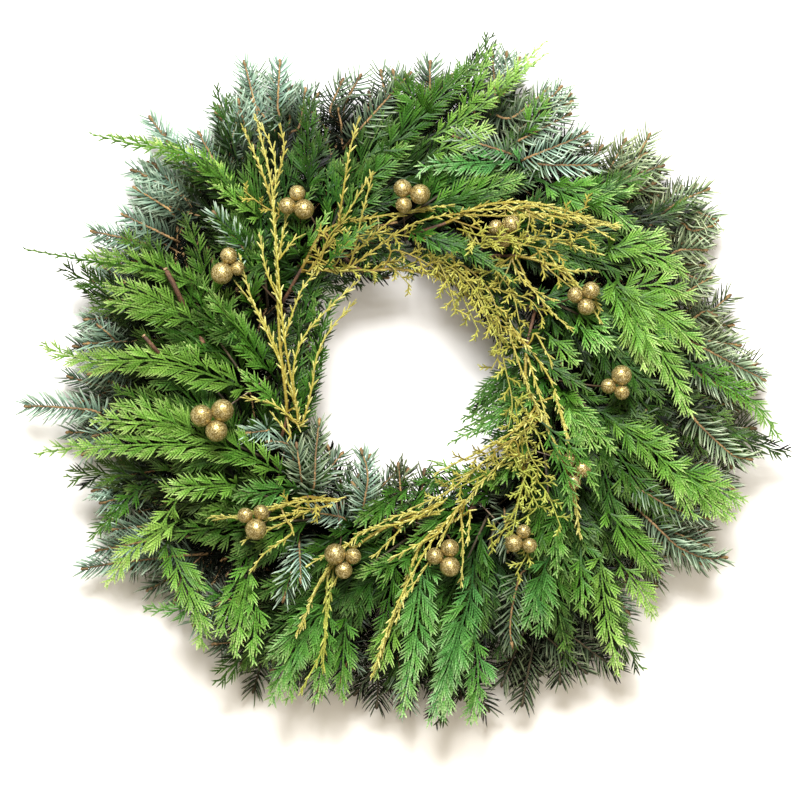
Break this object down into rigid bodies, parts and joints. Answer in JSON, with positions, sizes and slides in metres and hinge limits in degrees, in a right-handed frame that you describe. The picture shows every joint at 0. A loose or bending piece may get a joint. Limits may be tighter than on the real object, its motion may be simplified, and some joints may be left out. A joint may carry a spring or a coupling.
{
  "type": "evergreen wreath",
  "caption": "Round evergreen wreath of fir, cedar and gold juniper sprays wired to a ring frame, with clusters of glittered berries.",
  "frame": {"origin": "centre of the wreath's hole, at the level of the surface that its wire frame lies on", "axes": "+Z out of the wreath's front, +Y to its top as it would hang, +X to its right seen from the front"},
  "size_m": [0.6526, 0.5899, 0.0929],
  "materials": {
    "frame_wire": "dark green enamelled steel wire",
    "winding_wire": "green painted florist wire",
    "fir_needles": "waxy blue-green needles on orange-brown twigs",
    "cedar_leaf": "satin scale leaves, mid green to yellow-green",
    "cedar_leaf_tips": "satin scale leaves with lighter tips",
    "gold_juniper": "golden juniper scale twigs with orange-brown stems",
    "glitter_berry": "champagne glitter on round picks"
  },
  "bodies": {
    "root": {"ring_frame": "frame_wire", "winding_wire": "winding_wire", "fir_branch_01": "fir_needles", "fir_branch_02": "fir_needles", "fir_branch_03": "fir_needles", "fir_branch_04": "fir_needles", "fir_branch_05": "fir_needles", "fir_branch_06": "fir_needles", "fir_branch_07": "fir_needles", "fir_branch_08": "fir_needles", "fir_branch_09": "fir_needles", "fir_branch_10": "fir_needles", "fir_branch_11": "fir_needles", "fir_branch_12": "fir_needles", "cedar_lower_frond_01": "cedar_leaf", "cedar_lower_frond_02": "cedar_leaf", "cedar_lower_frond_03": "cedar_leaf", "cedar_lower_frond_04": "cedar_leaf", "cedar_lower_frond_05": "cedar_leaf", "cedar_lower_frond_06": "cedar_leaf", "cedar_lower_frond_07": "cedar_leaf", "cedar_lower_frond_08": "cedar_leaf", "cedar_lower_frond_09": "cedar_leaf", "cedar_upper_frond_01": "cedar_leaf_tips", "cedar_upper_frond_02": "cedar_leaf_tips", "cedar_upper_frond_03": "cedar_leaf_tips", "cedar_upper_frond_04": "cedar_leaf_tips", "cedar_upper_frond_05": "cedar_leaf_tips", "cedar_upper_frond_06": "cedar_leaf_tips", "cedar_upper_frond_07": "cedar_leaf_tips", "cedar_upper_frond_08": "cedar_leaf_tips", "cedar_upper_frond_09": "cedar_leaf_tips", "cedar_upper_frond_10": "cedar_leaf_tips", "cedar_upper_frond_11": "cedar_leaf_tips", "cedar_upper_frond_12": "cedar_leaf_tips", "gold_juniper_spray_01": "gold_juniper", "gold_juniper_spray_02": "gold_juniper", "gold_juniper_spray_03": "gold_juniper", "gold_juniper_spray_04": "gold_juniper", "gold_juniper_spray_05": "gold_juniper", "gold_juniper_spray_06": "gold_juniper", "gold_juniper_spray_07": "gold_juniper", "gold_juniper_spray_08": "gold_juniper", "gold_juniper_spray_09": "gold_juniper", "gold_juniper_spray_10": "gold_juniper", "berry_cluster_01": "glitter_berry", "berry_cluster_02": "glitter_berry", "berry_cluster_03": "glitter_berry", "berry_cluster_04": "glitter_berry", "berry_cluster_05": "glitter_berry", "berry_cluster_06": "glitter_berry", "berry_cluster_07": "glitter_berry", "berry_cluster_08": "glitter_berry", "berry_cluster_09": "glitter_berry", "berry_cluster_10": "glitter_berry", "berry_cluster_11": "glitter_berry", "berry_cluster_12": "glitter_berry"}
  },
  "joints": []
}
